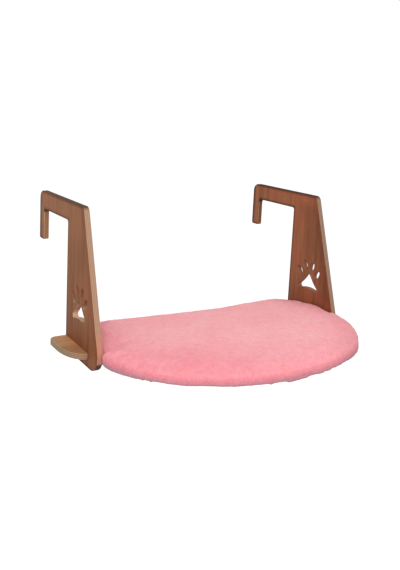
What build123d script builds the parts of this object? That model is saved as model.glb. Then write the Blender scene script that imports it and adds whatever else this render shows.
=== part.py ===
from build123d import *
import os

# Cat bed that hangs on a radiator: two hooked plywood brackets carry a shelf board, and a
# plush cushion with a D-shaped outline lies on it.
# Millimetres. X runs from left to right, +Y points back to the radiator and +Z is up.
# The origin is midway between the brackets, in the plane of the stems' back edges and in
# the plane of the hook arms' undersides, where the bed rests on the radiator.

# Driving dimensions
ply_thickness = 9.0
clear_width = 441.0  # between the inner faces of the brackets
hook_gap = 109.0  # depth of radiator that the hooks reach over
arm_to_board = 183.5  # from the arms' undersides down to the board's top
stem_depth_top = 61.0  # stem from back to front at the bracket's top
stem_depth_board = 126.0  # stem from back to front at the board's top
cushion_reach = 296.0  # from the radiator to the cushion's front
cushion_height = 20.0  # crown above the board's top

# Shared clearances
halving_clearance = 0.3
joint_side_clearance = 0.15
cut_overrun = 1.0

# Bracket
arm_height = 30.0
tip_width = 20.0
tip_drop = 52.0  # the tip's bottom below the arm's underside
foot_drop = 22.0  # the foot's bottom below the board's top
foot_heel_radius = 3.0
gap_stem_radius = 4.0
gap_tip_radius = 7.0
tip_end_radius = 3.5
hook_back_radius = 14.0
hook_front_radius = 10.0
foot_toe_radius = 26.0
bracket_edge_radius = 0.8
halving_share = 0.5  # of the stem's depth, cut from the back for the board

# Paw cut-out
paw_height = 55.0  # the pad's middle above the board's top
paw_middle_share = 0.482  # of the stem's depth there, from its back
pad_top_radius = 8.0
pad_top_rise = 5.0
pad_side_radius = 4.2
pad_side_reach = 21.5
pad_side_drop = 13.3
pad_waist_radius = 95.0
pad_arch_radius = 65.0
toe_width = 11.5
toe_length = 21.0
inner_toe_reach = 8.6
inner_toe_rise = 27.0
inner_toe_splay = 25.0  # degrees
outer_toe_reach = 22.2
outer_toe_rise = 14.8
outer_toe_splay = 39.0  # degrees

# Shelf board
ear_reach = 28.5  # beyond the bracket's outer face
ear_corner_radius = 12.0
ear_straight = 35.0  # from the back to where the ear starts to round off
ear_depth = 89.0
board_front_inset = 29.0  # the board's front behind the cushion's front
board_side_depth = 95.0  # straight side, before the front curve
board_edge_radius = 0.8

# Hook and loop tapes
tape_thickness = 0.8
tape_width = 25.0
tape_length = 110.0
tape_offset = 140.0  # of each tape's middle line from the bed's middle
tape_middle_depth = 115.0

# Cushion
cushion_side_clearance = 1.0
cushion_front_clearance = 0.8
cushion_back = 10.0
cushion_corner_radius = 32.0
side_draw_in = 1.5
front_bulge = 5.0  # beyond the straight side, in front of the bracket
bulge_length = 8.0
base_cloth_thickness = 0.6
plush_thickness = 3.0
core_clearance = 0.3
crown_rim_share = 0.87  # of the front or the half width, from the rim to the crown's edge
crown_back_share = 0.71  # of the straight side, from the back to the crown's edge
# Share of the cover's height, of the crown's inset at the rim, of the inset at the back
back_edge_share = 0.26
level_shares = (
    (0.0, 0.014, 0.0),
    (0.1, 0.004, 0.0),
    (back_edge_share, 0.0, 0.0),
    (0.37, 0.008, 0.025),
    (0.505, 0.028, 0.063),
    (0.624, 0.072, 0.09),
    (0.72, 0.155, 0.127),
    (0.787, 0.3, 0.175),
    (0.843, 0.5, 0.283),
    (0.92, 0.75, 0.57),
    (1.0, 1.0, 1.0),
)

# Zip along the cushion's back edge
zip_corner_margin = 12.5  # from the end of the coil to the cushion's rounded corner
zip_tape_thickness = 0.5
zip_tape_overhang = 6.0
zip_tape_gap = 0.7
coil_height = 3.0
coil_thickness = 1.6
coil_groove_width = 0.6
coil_groove_depth = 0.5
stop_length = 2.0
stop_proud = 0.4
slider_length = 8.0
slider_clearance = 0.25
slider_plate_thickness = 0.9
slider_rail_thickness = 0.75
slider_corner_radius = 1.4
slider_rest_margin = 3.0  # from the end stop to the slider when the zip is shut
bridge_length = 6.1
bridge_leg_length = 0.9
bridge_width = 1.4
bridge_thickness = 0.8
bridge_clear_height = 1.7
pull_thickness = 0.8
pull_pin_diameter = 1.0
pull_arm_gap = 0.4  # between each arm and the bridge
pull_arm_width = 0.9
pull_eye_length = 4.2
pull_length = 20.0
pull_end_radius = 1.9
pull_window_length = 7.0
pull_window_margin = 1.1

# Places that follow from the sizes
inner_face = clear_width / 2
outer_face = inner_face + ply_thickness
board_top = -arm_to_board
board_bottom = board_top - ply_thickness
foot_bottom = board_top - foot_drop
front_slope = (stem_depth_board - stem_depth_top) / (arm_height + arm_to_board)
halving_depth = halving_share * stem_depth_board
tapes_top = board_top + 2 * tape_thickness
cover_bottom = tapes_top + base_cloth_thickness
cover_height = board_top + cushion_height - cover_bottom
cushion_half_width = inner_face - cushion_side_clearance
shoulder_depth = stem_depth_board + cushion_front_clearance
crown_rim = crown_rim_share * min(
    cushion_half_width - cushion_corner_radius,
    cushion_reach - shoulder_depth - bulge_length,
)
crown_back = crown_back_share * (shoulder_depth - cushion_back - cushion_corner_radius)
back_edge_height = back_edge_share * cover_height
board_front = cushion_reach - board_front_inset


def stem_front(height):
    """Depth of the stem's sloping front edge at a height above the arm's underside."""
    return stem_depth_top + front_slope * (arm_height - height)


def bracket(inner_x):
    """Bracket plate whose left face is at inner_x."""
    corners = (
        (0, foot_bottom),
        (0, 0),
        (hook_gap, 0),
        (hook_gap, -tip_drop),
        (hook_gap + tip_width, -tip_drop),
        (hook_gap + tip_width, arm_height),
        (-stem_depth_top, arm_height),
        (-stem_front(foot_bottom), foot_bottom),
    )
    radii = (
        foot_heel_radius,
        gap_stem_radius,
        gap_tip_radius,
        tip_end_radius,
        tip_end_radius,
        hook_back_radius,
        hook_front_radius,
        foot_toe_radius,
    )
    with BuildPart() as plate:
        with BuildSketch(Plane.YZ.offset(inner_x)):
            with BuildLine():
                FilletPolyline(*corners, radius=radii, close=True)
            make_face()
        extrude(amount=ply_thickness)
        fillet(plate.faces().filter_by(Axis.X).edges(), bracket_edge_radius)
        with BuildSketch(paw_plane(inner_x - cut_overrun)):
            paw_pad()
            paw_toes()
        extrude(amount=ply_thickness + 2 * cut_overrun, mode=Mode.SUBTRACT)
        with BuildSketch(Plane.YZ.offset(inner_x - cut_overrun)):
            with Locations((cut_overrun, board_bottom)):
                Rectangle(
                    halving_depth + halving_clearance + cut_overrun,
                    ply_thickness + halving_clearance,
                    align=(Align.MAX, Align.MIN),
                )
        extrude(amount=ply_thickness + 2 * cut_overrun, mode=Mode.SUBTRACT)
    return plate.part


def paw_plane(x):
    """Plane of the paw: its middle near the stem's middle line, its toes upwards."""
    height = board_top + paw_height
    middle = paw_middle_share * stem_front(height)
    return Plane(origin=(x, -middle, height), x_dir=(0, 1, 0), z_dir=(1, 0, 0))


def paw_pad():
    """Pad with three round lobes, joined by hollow arcs that touch the lobes."""
    top = Vector(0, pad_top_rise)
    right = Vector(pad_side_reach, -pad_side_drop)
    left = Vector(-pad_side_reach, -pad_side_drop)
    waist = hollow_centre(right, pad_side_radius, top, pad_top_radius, pad_waist_radius)
    far_waist = Vector(-waist.X, waist.Y)
    arch = hollow_centre(left, pad_side_radius, right, pad_side_radius, pad_arch_radius)
    Polygon(top, waist, right, arch, left, far_waist, align=None)
    with Locations(waist, far_waist):
        Circle(pad_waist_radius, mode=Mode.SUBTRACT)
    with Locations(arch):
        Circle(pad_arch_radius, mode=Mode.SUBTRACT)
    with Locations(right, left):
        Circle(pad_side_radius)
    with Locations(top):
        Circle(pad_top_radius)


def hollow_centre(first, first_radius, second, second_radius, radius):
    """Centre of the arc that touches two lobes from outside, right of the line between them."""
    along = second - first
    reach_first = first_radius + radius
    reach_second = second_radius + radius
    run = (reach_first**2 - reach_second**2 + along.length**2) / (2 * along.length)
    off = (reach_first**2 - run**2) ** 0.5
    step = along.normalized()
    return first + step * run + Vector(step.Y, -step.X) * off


def paw_toes():
    """Four oval toes that fan out over the pad."""
    toes = (
        (inner_toe_reach, inner_toe_rise, inner_toe_splay),
        (outer_toe_reach, outer_toe_rise, outer_toe_splay),
    )
    for reach, rise, splay in toes:
        for side in (-1, 1):
            with Locations((side * reach, rise)):
                Ellipse(toe_width / 2, toe_length / 2, rotation=-side * splay)


def shelf_board():
    """Board that is halved into the brackets: an ear outside each, a D-shaped front between."""
    notch_inside = inner_face - joint_side_clearance
    notch_outside = outer_face + joint_side_clearance
    ear_side = outer_face + ear_reach
    with BuildPart() as board:
        with BuildSketch(Plane.XY.offset(board_bottom)):
            with BuildLine():
                Line((0, 0), (ear_side - ear_corner_radius, 0))
                TangentArc(
                    (ear_side - ear_corner_radius, 0),
                    (ear_side, -ear_corner_radius),
                    tangent=(1, 0),
                )
                Line((ear_side, -ear_corner_radius), (ear_side, -ear_straight))
                EllipticalCenterArc(
                    (notch_outside, -ear_straight),
                    ear_side - notch_outside,
                    ear_depth - ear_straight,
                    start_angle=-90,
                    arc_size=90,
                )
                Polyline(
                    (notch_outside, -ear_depth),
                    (notch_inside, -ear_depth),
                    (notch_inside, -board_side_depth),
                )
                EllipticalCenterArc(
                    (0, -board_side_depth),
                    notch_inside,
                    board_front - board_side_depth,
                    start_angle=-90,
                    arc_size=90,
                )
                mirror(about=Plane.YZ)
            make_face()
        extrude(amount=ply_thickness)
        fillet(board.faces().filter_by(Axis.Z).edges(), board_edge_radius)
        with BuildSketch(Plane.XY.offset(board_bottom - cut_overrun)):
            for side in (-1, 1):
                with Locations((side * (notch_inside + notch_outside) / 2, -halving_depth)):
                    Rectangle(
                        notch_outside - notch_inside,
                        ear_depth - halving_depth + cut_overrun,
                        align=(Align.CENTER, Align.MAX),
                    )
        extrude(amount=ply_thickness + 2 * cut_overrun, mode=Mode.SUBTRACT)
    return board.part


def tape_pair(bottom):
    """Two straight tapes, one each side of the bed's middle."""
    with BuildPart() as tapes:
        with BuildSketch(Plane.XY.offset(bottom)):
            with Locations((-tape_offset, -tape_middle_depth), (tape_offset, -tape_middle_depth)):
                Rectangle(tape_width, tape_length)
        extrude(amount=tape_thickness)
    return tapes.part


def cushion_outline(rim_inset, back_inset):
    """D-shaped outline: straight back, sides drawn in between the brackets, bulging front."""
    side = cushion_half_width - rim_inset
    back = cushion_back + back_inset
    corner_end = back + cushion_corner_radius
    bulge = side + front_bulge
    bulge_depth = shoulder_depth + bulge_length
    front = cushion_reach - rim_inset
    half_turn = (side + front_bulge / 2, -shoulder_depth - bulge_length / 2)
    with BuildSketch() as outline:
        with BuildLine():
            Line((0, -back), (side - cushion_corner_radius, -back))
            TangentArc((side - cushion_corner_radius, -back), (side, -corner_end), tangent=(1, 0))
            ThreePointArc(
                (side, -corner_end),
                (side - side_draw_in, -(corner_end + shoulder_depth) / 2),
                (side, -shoulder_depth),
            )
            TangentArc((side, -shoulder_depth), half_turn, tangent=(0, -1))
            TangentArc((bulge, -bulge_depth), half_turn, tangent=(0, 1))
            EllipticalCenterArc(
                (0, -bulge_depth), bulge, front - bulge_depth, start_angle=-90, arc_size=90
            )
            mirror(about=Plane.YZ)
        make_face()
    return outline.sketch


def cushion_form(skin):
    """Crowned form, lying skin inside the cover's outside: an upright rim between the
    brackets and in front, and a crown that rises gently from the back."""
    with BuildPart() as form:
        for height_share, rim_share, back_share in level_shares:
            rim_inset = skin + rim_share * (crown_rim - skin)
            back_inset = skin + back_share * (crown_back - skin)
            outline = cushion_outline(rim_inset, back_inset)
            height = cover_bottom + height_share * (cover_height - skin)
            with BuildSketch(Plane.XY.offset(height)):
                add(outline)
        loft(ruled=True)
    return form.part


def plush_cover():
    """Plush top and sides, open below, where the base cloth closes it."""
    with BuildPart() as cover:
        add(cushion_form(0))
        add(cushion_form(plush_thickness), mode=Mode.SUBTRACT)
    return cover.part


def base_cloth():
    """Flat cloth under the cushion, with the outline of the cover's lower edge."""
    outline = cushion_outline(level_shares[0][1] * crown_rim, 0)
    with BuildPart() as cloth:
        with BuildSketch(Plane.XY.offset(tapes_top)):
            add(outline)
        extrude(amount=base_cloth_thickness)
    return cloth.part


# The zip's middle line runs along X at half the height of the cushion's back edge
zip_middle = (tapes_top + cover_bottom + back_edge_height) / 2
zip_seat = -cushion_back
coil_seat = zip_seat + zip_tape_thickness
coil_back = coil_seat + coil_thickness
plate_seat = coil_back + slider_clearance
plate_back = plate_seat + slider_plate_thickness
rail_inside = coil_height / 2 + slider_clearance
rail_outside = rail_inside + slider_rail_thickness
zip_length = 2 * (cushion_half_width - cushion_corner_radius - zip_corner_margin)
slider_rest = zip_length / 2 - slider_rest_margin - slider_length / 2
pin_y = plate_back + bridge_clear_height / 2


def zip_tape(side):
    """Half of the zip's tape: above the coil's middle line for side 1, below it for side -1."""
    edge = zip_tape_gap / 2
    height = (cover_bottom + back_edge_height - tapes_top) / 2 - edge
    with BuildPart() as tape:
        with BuildSketch(Plane.XZ.offset(-zip_seat)):
            with Locations((0, zip_middle + side * (edge + height / 2))):
                Rectangle(zip_length + 2 * zip_tape_overhang, height)
        extrude(amount=-zip_tape_thickness)
    return tape.part


def zip_coil():
    """Closed coil along the zip, with a shallow groove along its middle."""
    with BuildPart() as coil:
        with BuildSketch(Plane.YZ.offset(-zip_length / 2)):
            with Locations((coil_seat, zip_middle)):
                Rectangle(coil_thickness, coil_height, align=(Align.MIN, Align.CENTER))
            with Locations((coil_back, zip_middle)):
                Rectangle(
                    coil_groove_depth,
                    coil_groove_width,
                    align=(Align.MAX, Align.CENTER),
                    mode=Mode.SUBTRACT,
                )
        extrude(amount=zip_length)
    return coil.part


def zip_end_stops():
    """A block at each end of the coil that stops the slider."""
    offset = (zip_length + stop_length) / 2
    with BuildPart() as stops:
        with BuildSketch(Plane.XZ.offset(-coil_seat)):
            with Locations((-offset, zip_middle), (offset, zip_middle)):
                Rectangle(stop_length, 2 * rail_outside)
        extrude(amount=-coil_thickness - stop_proud)
    return stops.part


def zip_slider():
    """Slider with rails along both sides of the coil and a bridge for the pull."""
    bridge_top = bridge_clear_height + bridge_thickness
    window = bridge_length - 2 * bridge_leg_length
    with BuildPart() as slider:
        with BuildSketch(Plane.XZ.offset(-plate_seat)):
            with Locations((slider_rest, zip_middle)):
                RectangleRounded(slider_length, 2 * rail_outside, slider_corner_radius)
        extrude(amount=-slider_plate_thickness)
        with BuildSketch(Plane.XZ.offset(-plate_seat)):
            for side in (-1, 1):
                with Locations((slider_rest, zip_middle + side * (rail_inside + rail_outside) / 2)):
                    Rectangle(slider_length - 2 * slider_corner_radius, slider_rail_thickness)
        extrude(amount=plate_seat - coil_seat - slider_clearance)
        with BuildSketch(Plane.XY.offset(zip_middle - bridge_width / 2)):
            with Locations((slider_rest, plate_back)):
                Rectangle(bridge_length, bridge_top, align=(Align.CENTER, Align.MIN))
                Rectangle(
                    window,
                    bridge_clear_height,
                    align=(Align.CENTER, Align.MIN),
                    mode=Mode.SUBTRACT,
                )
        extrude(amount=bridge_width)
    return slider.part


def zip_pull():
    """Pull tab that lies along the coil, with a cross pin under the slider's bridge."""
    arm_inside = bridge_width / 2 + pull_arm_gap
    arm_outside = arm_inside + pull_arm_width
    tab_length = pull_length - pull_eye_length
    window_width = 2 * (arm_outside - pull_window_margin)
    with BuildPart() as pull:
        with BuildSketch(Plane.XZ.offset(-pin_y - pull_thickness / 2)):
            for side in (-1, 1):
                with Locations((slider_rest, zip_middle + side * (arm_inside + arm_outside) / 2)):
                    Rectangle(
                        pull_eye_length, pull_arm_width, align=(Align.MAX, Align.CENTER)
                    )
            with Locations((slider_rest - pull_eye_length - tab_length / 2, zip_middle)):
                RectangleRounded(tab_length, 2 * arm_outside, pull_end_radius)
            with Locations((slider_rest - pull_eye_length, zip_middle)):
                Rectangle(
                    pull_end_radius, 2 * arm_outside, align=(Align.MAX, Align.CENTER)
                )
            with Locations((slider_rest - pull_length + pull_end_radius, zip_middle)):
                Rectangle(
                    pull_window_length,
                    window_width,
                    align=(Align.MIN, Align.CENTER),
                    mode=Mode.SUBTRACT,
                )
        extrude(amount=pull_thickness)
        with BuildSketch(Plane.XY.offset(zip_middle - arm_outside)):
            with Locations((slider_rest, pin_y)):
                Circle(pull_pin_diameter / 2)
        extrude(amount=2 * arm_outside)
    return pull.part


pieces = {
    "left_bracket": bracket(-outer_face),
    "right_bracket": bracket(inner_face),
    "shelf_board": shelf_board(),
    "shelf_hook_tapes": tape_pair(board_top),
    "cushion_loop_tapes": tape_pair(board_top + tape_thickness),
    "cushion_base_cloth": base_cloth(),
    "plush_cover": plush_cover(),
    "foam_core": cushion_form(plush_thickness + core_clearance),
    "zip_tape_upper": zip_tape(1),
    "zip_tape_lower": zip_tape(-1),
    "zip_coil": zip_coil(),
    "zip_end_stops": zip_end_stops(),
    "zip_slider": zip_slider(),
    "zip_pull": zip_pull(),
}

os.makedirs("parts", exist_ok=True)
for name, piece in pieces.items():
    piece.label = name
    export_step(piece, f"parts/{name}.step")
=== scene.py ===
import math

import bpy
from mathutils import Matrix, Vector, noise


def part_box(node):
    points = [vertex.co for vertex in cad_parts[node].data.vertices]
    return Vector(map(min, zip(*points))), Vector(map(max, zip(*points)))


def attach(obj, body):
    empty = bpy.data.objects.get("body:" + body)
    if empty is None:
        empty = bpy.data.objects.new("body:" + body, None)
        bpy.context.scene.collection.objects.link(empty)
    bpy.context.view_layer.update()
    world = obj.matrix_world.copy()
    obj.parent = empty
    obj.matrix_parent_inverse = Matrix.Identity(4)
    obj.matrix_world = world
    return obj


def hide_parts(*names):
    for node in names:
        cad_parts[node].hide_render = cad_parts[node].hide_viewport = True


# Cat bed that hangs on a radiator, dressed for its studio photograph. Metres, in the CAD frame:
# X from left to right, +Y back to the radiator, +Z up.

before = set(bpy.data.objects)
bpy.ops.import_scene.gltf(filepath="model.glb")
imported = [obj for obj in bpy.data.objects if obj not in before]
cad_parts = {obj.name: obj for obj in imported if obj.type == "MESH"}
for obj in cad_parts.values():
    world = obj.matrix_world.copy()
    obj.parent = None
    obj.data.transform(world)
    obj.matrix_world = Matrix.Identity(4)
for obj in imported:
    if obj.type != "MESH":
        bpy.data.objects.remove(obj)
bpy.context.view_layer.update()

# Camera, as fitted to the brackets' edges in the photograph
PHOTO_HEIGHT = 570  # pixels
CAMERA_PLACE = (-0.606, -0.967, 0.190)
CAMERA_YAW = 32.46  # degrees from +Y towards +X
CAMERA_PITCH = 8.32  # degrees below the horizon
CAMERA_ROLL = -2.78  # degrees
FOCAL_PIXELS = 672.6
AXIS_ABOVE_MIDDLE = 85  # pixels from the picture's middle up to the camera's axis

# Cushion
VOXEL = 0.0035
SOFTENING = 10  # rounds of smoothing on the rim's front
PUFF_PRESSURE = 4.0
PUFF_CAP = 0.0026
PUFF_FRAMES = 20
START_INSET = 0.0003  # the form starts this much inside its solid and swells out
SIDE_GAP = 0.0004  # between the pile and a bracket
ROLL_DROP = 0.0082  # the plush hangs this far below its seam in front of the board
ROLL_START = 0.1243  # depth from the radiator where the roll begins
ROLL_FULL = 0.1275  # depth where it has its whole drop

# Light and floor
WORLD_LIGHT = 0.72
# Name, place, diameter and power of each lamp
LAMPS = (("key", (-1.1, -2.1, 1.35), 1.6, 30.0), ("fill", (1.6, -1.2, 1.0), 1.4, 3.5))
LAMP_TARGET = (0, -0.1, -0.1)
FLOOR_HALF = 6.0  # half of its side
FLOOR_BELOW = 0.75  # from the radiator's top edge down to the floor
FLOOR_LIFT = 0.46  # what the white floor lacks in light, added where it is seen directly

# Lowest and highest corners of the solids that the scene's pieces fit to
BRACKET_LOW, BRACKET_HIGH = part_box("right_bracket")
BOARD_LOW, BOARD_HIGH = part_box("shelf_board")
COVER_LOW, COVER_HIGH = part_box("plush_cover")
CLOTH_LOW, CLOTH_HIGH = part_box("cushion_base_cloth")
HOOK_LOW, HOOK_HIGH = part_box("shelf_hook_tapes")
LOOP_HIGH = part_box("cushion_loop_tapes")[1]
ZIP_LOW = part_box("zip_tape_lower")[0]
ZIP_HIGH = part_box("zip_tape_upper")[1]
ZIP_MIDDLE = (ZIP_LOW.z + ZIP_HIGH.z) / 2
COIL_PITCH = 0.0013
COIL_SEAM = 0.0009  # of the sewn line on either half from the zip's middle


def srgb(red, green, blue):
    """Linear colour of an 8-bit screen colour."""
    values = [c / 255 for c in (red, green, blue)]
    linear = [c / 12.92 if c <= 0.04045 else ((c + 0.055) / 1.055) ** 2.4 for c in values]
    return (*linear, 1.0)


class Material:
    """Node material with one Principled shader and short calls for the nodes before it."""

    def __init__(self, name, roughness=0.6, specular=0.3):
        self.made = bpy.data.materials.new(name)
        self.made.use_nodes = True
        self.tree = self.made.node_tree
        self.shader = self.tree.nodes["Principled BSDF"]
        self.set(Roughness=roughness)
        self.set(**{"Specular IOR Level": specular})
        self.coords = self.tree.nodes.new("ShaderNodeTexCoord")

    def set(self, **sockets):
        for name, value in sockets.items():
            self.shader.inputs[name].default_value = value

    def feed(self, socket, value):
        self.tree.links.new(value, self.shader.inputs[socket])

    def put(self, socket, value):
        """Sets a node's input to a number, a colour or another node's output."""
        if isinstance(value, bpy.types.NodeSocket):
            self.tree.links.new(value, socket)
        else:
            socket.default_value = value

    def split(self, vector):
        node = self.tree.nodes.new("ShaderNodeSeparateXYZ")
        self.put(node.inputs[0], vector)
        return node.outputs

    def join(self, x, y, z):
        node = self.tree.nodes.new("ShaderNodeCombineXYZ")
        for socket, value in zip(node.inputs, (x, y, z)):
            self.put(socket, value)
        return node.outputs[0]

    def math(self, operation, first, second=0.0):
        node = self.tree.nodes.new("ShaderNodeMath")
        node.operation = operation
        self.put(node.inputs[0], first)
        self.put(node.inputs[1], second)
        return node.outputs[0]

    def times(self, first, *others):
        for other in others:
            first = self.math("MULTIPLY", first, other)
        return first

    def plus(self, first, *others):
        for other in others:
            first = self.math("ADD", first, other)
        return first

    def minus(self, first, second):
        return self.math("SUBTRACT", first, second)

    def distance(self, first, second):
        """Length of the line whose parts along two axes are first and second."""
        return self.math("SQRT", self.plus(self.times(first, first), self.times(second, second)))

    def scaled(self, vector, factors):
        node = self.tree.nodes.new("ShaderNodeVectorMath")
        node.operation = "MULTIPLY"
        self.put(node.inputs[0], vector)
        self.put(node.inputs[1], factors)
        return node.outputs[0]

    def noise(self, vector, scale, detail=3.0, roughness=0.5, distortion=0.0):
        node = self.tree.nodes.new("ShaderNodeTexNoise")
        self.put(node.inputs["Vector"], vector)
        self.put(node.inputs["Scale"], scale)
        self.put(node.inputs["Detail"], detail)
        self.put(node.inputs["Roughness"], roughness)
        self.put(node.inputs["Distortion"], distortion)
        return node.outputs["Fac"]

    def ramp(self, value, low, high, smooth=True):
        """0 at low and before it, 1 at high and past it; high may be the smaller number."""
        node = self.tree.nodes.new("ShaderNodeMapRange")
        node.interpolation_type = "SMOOTHSTEP" if smooth else "LINEAR"
        self.put(node.inputs["Value"], value)
        self.put(node.inputs["From Min"], low)
        self.put(node.inputs["From Max"], high)
        return node.outputs["Result"]

    def span(self, value, low, high):
        """Maps 0 to 1 onto low to high."""
        node = self.tree.nodes.new("ShaderNodeMapRange")
        self.put(node.inputs["Value"], value)
        self.put(node.inputs["To Min"], low)
        self.put(node.inputs["To Max"], high)
        return node.outputs["Result"]

    def mix(self, share, first, second, blend="MIX"):
        node = self.tree.nodes.new("ShaderNodeMix")
        node.data_type = "RGBA"
        node.blend_type = blend
        self.put(node.inputs["Factor"], share)
        self.put(node.inputs[6], first)
        self.put(node.inputs[7], second)
        return node.outputs[2]

    def shade(self, share, colour, tint):
        """Colour, darkened by tint to the extent of share."""
        return self.mix(share, colour, tint, "MULTIPLY")

    def attribute(self, name):
        node = self.tree.nodes.new("ShaderNodeAttribute")
        node.attribute_name = name
        return node.outputs["Fac"]

    def bump(self, height, depth, strength=1.0):
        node = self.tree.nodes.new("ShaderNodeBump")
        self.put(node.inputs["Height"], height)
        self.put(node.inputs["Distance"], depth)
        self.put(node.inputs["Strength"], strength)
        self.feed("Normal", node.outputs["Normal"])


# Plywood. Of each pair, a tone starts at the first number and is full at the second
PLIES = 7
FLAT_FACE = (0.6, 0.92)  # how squarely a surface has to face as the plate does to be veneer
STEM_SLOPE = 0.3044  # depth gained per unit of height lost
STEM_DEPTH_AT_SEAT = 0.0701  # stem from back to front at the arms' undersides
STEM_NORMAL_AHEAD = 0.957
STEM_NORMAL_UP = 0.291
HOOK_GAP = 0.109  # from the stem's back to the hook's tip
TIP_DROP = 0.052  # the tip's end below the arm's underside
TIP_WALL = (0.08, 0.1)  # depth behind the stem's back
SCORCH = 0.0065  # width of the darker line that the cutting left along the outline
SCORCH_BACK = 1.8 * SCORCH  # and its width at the hook's back
SCORCH_FOOT = (-0.15, -0.19)  # height
HIGH_PALER = (-0.05, 0.0)  # height where the left bracket's face turns paler towards the top
LOW_DARKER = (-0.11, -0.175)  # height where the faces turn darker towards the bottom
PAINTED_SHADE_BAND = (-0.064, -0.03)  # painted shade ahead of the stem's front edge, on the right bracket
PAINTED_SHADE_LEAN = 0.15  # how much further forward it starts for each unit of height lost
PAINTED_SHADE_FOOT = (-0.165, -0.148)  # height
PAINTED_SHADE_HEAD = (0.02, 0.002)  # height
NEAR_FRONT = (-0.02, -0.006)  # ahead of the stem's front edge, as the three below
PAST_FRONT = (0.004, 0.0)
PALE_FRONT = (-0.008, -0.005)
PALE_ARRIS = (-0.006, -0.003)
REDDER_FRONT = (-0.13, -0.17)  # height where the left bracket's pale edge turns redder
PAW_DEPTH = 0.0527  # the paw's middle ahead of the stem's back
PAW_DROP = 0.125  # and below the arms' undersides
PAW_REACH = (0.044, 0.040)  # from the paw's middle
PAD_WALLS = (-0.116, -0.122)  # height, on the left bracket, as the next two
PAD_SILL = (-0.122, -0.128)
PAD_FOOT = (-0.132, -0.136)
PAD_BACK = (0.004 - PAW_DEPTH, 0.01 - PAW_DEPTH)  # along Y, as the next one
PAD_END = (-0.008 - PAW_DEPTH, -0.013 - PAW_DEPTH)


def drawn_out(axis, across, along):
    """Factors for a noise that is fine across the grain and long along axis."""
    factors = [across] * 3
    factors[axis] = along
    return factors


def grain(made, place, axis):
    """Figure, fine fibres and broad patches of a veneer whose grain runs along axis."""
    figure = made.noise(made.scaled(place, drawn_out(axis, 9.0, 0.5)), 7.0, detail=5.0,
                        roughness=0.55, distortion=0.6)
    fibres = made.noise(made.scaled(place, drawn_out(axis, 60.0, 1.5)), 14.0, detail=4.0,
                        roughness=0.65)
    patches = made.noise(place, 14.0, detail=2.0, distortion=0.4)
    return figure, fibres, patches


def veneer(made, figure, fibres, patches, deep, plain, warm):
    tone = made.mix(made.ramp(figure, 0.36, 0.62), deep, plain)
    tone = made.mix(made.times(made.ramp(patches, 0.42, 0.7), 0.6), tone, warm)
    pores = made.ramp(fibres, 0.44, 0.3)
    return made.shade(made.times(pores, 0.3), tone, deep)


def plies(made, place, through, dark, light):
    """Layers that show on a cut edge; through runs from 0 to 1 from face to face."""
    wander = made.times(made.minus(made.noise(place, 60.0), 0.5), 0.06)
    turn = made.times(made.plus(through, wander), PLIES * math.pi)
    layer = made.ramp(made.math("SINE", turn), -0.4, 0.6)
    end_grain = made.noise(place, 900.0, detail=2.0)
    return made.mix(made.plus(made.times(layer, 0.75), made.times(end_grain, 0.35)), dark, light)


def worn_arris(made, place, flat):
    """1 in patches along the rounded edge between a plate's face and its cut edge."""
    rounded = made.times(made.ramp(flat, 0.25, 0.6), made.ramp(flat, 0.97, 0.8))
    return made.times(rounded, made.ramp(made.noise(place, 120.0), 0.4, 0.6))


def finish_wood(made, fibres, figure):
    made.feed("Roughness", made.span(fibres, 0.48, 0.72))
    made.bump(made.plus(made.times(fibres, 0.6), made.times(figure, 0.4)), 0.0001, 0.6)


def beyond_front(made, at):
    """How far ahead of the stem's sloping front edge a place lies."""
    front = made.plus(made.times(at[2], -STEM_SLOPE), STEM_DEPTH_AT_SEAT)
    return made.minus(made.times(at[1], -1.0), front)


def scorched(made, at):
    """1 at the bracket's outline, 0 further in; plain at the front and in the hook's tip."""
    past_tip = made.minus(at[1], HOOK_GAP)
    plain_tip = made.math("GREATER_THAN", past_tip, 0.0)
    aside = made.math("MAXIMUM", made.times(at[1], -1.0), plain_tip)
    above = made.math("MAXIMUM", at[2], 0.0)
    line = made.ramp(made.distance(aside, above), SCORCH, 0.0)
    for value, edge, inwards in (
        (at[2], BRACKET_HIGH.z, -SCORCH),
        (at[2], BRACKET_LOW.z, SCORCH),
        (at[1], BRACKET_HIGH.y, -SCORCH_BACK),
    ):
        line = made.math("MAXIMUM", line, made.ramp(value, edge + inwards, edge))
    tip_end = made.times(made.ramp(at[2], SCORCH - TIP_DROP, -TIP_DROP),
                         made.ramp(past_tip, -0.001, 0.0))
    return made.math("MAXIMUM", line, tip_end)


def bracket_face(made, at, on_left, on_right, woody):
    """Stained veneer of the brackets' faces, with painted light and shade; woody holds its figure,
    fibres and patches.
    """
    # Painted light: the right bracket's veneer is a lighter copy of the left's, to make up for the
    # shade on its inner face
    left = veneer(made, *woody, srgb(122, 77, 46), srgb(145, 93, 58), srgb(150, 89, 55))
    right = veneer(made, *woody, srgb(136, 83, 56), srgb(156, 99, 67), srgb(164, 94, 63))
    face = made.mix(on_right, left, right)
    # Paler towards the top of the left bracket
    high_left = made.times(made.ramp(at[2], *HIGH_PALER), on_left, 0.14)
    face = made.mix(high_left, face, srgb(196, 142, 112))
    # Darker towards the bottom of both brackets
    low = made.times(made.ramp(at[2], *LOW_DARKER), 0.5)
    face = made.shade(low, face, srgb(232, 206, 196))
    # Painted shade: a darker band on the right bracket's face, behind its front edge
    towards = made.plus(beyond_front(made, at), made.times(at[2], PAINTED_SHADE_LEAN))
    deeper = made.times(made.ramp(towards, *PAINTED_SHADE_BAND), on_right,
                        made.ramp(at[2], *PAINTED_SHADE_FOOT), made.ramp(at[2], *PAINTED_SHADE_HEAD))
    return made.shade(deeper, face, srgb(222, 227, 224))


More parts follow.
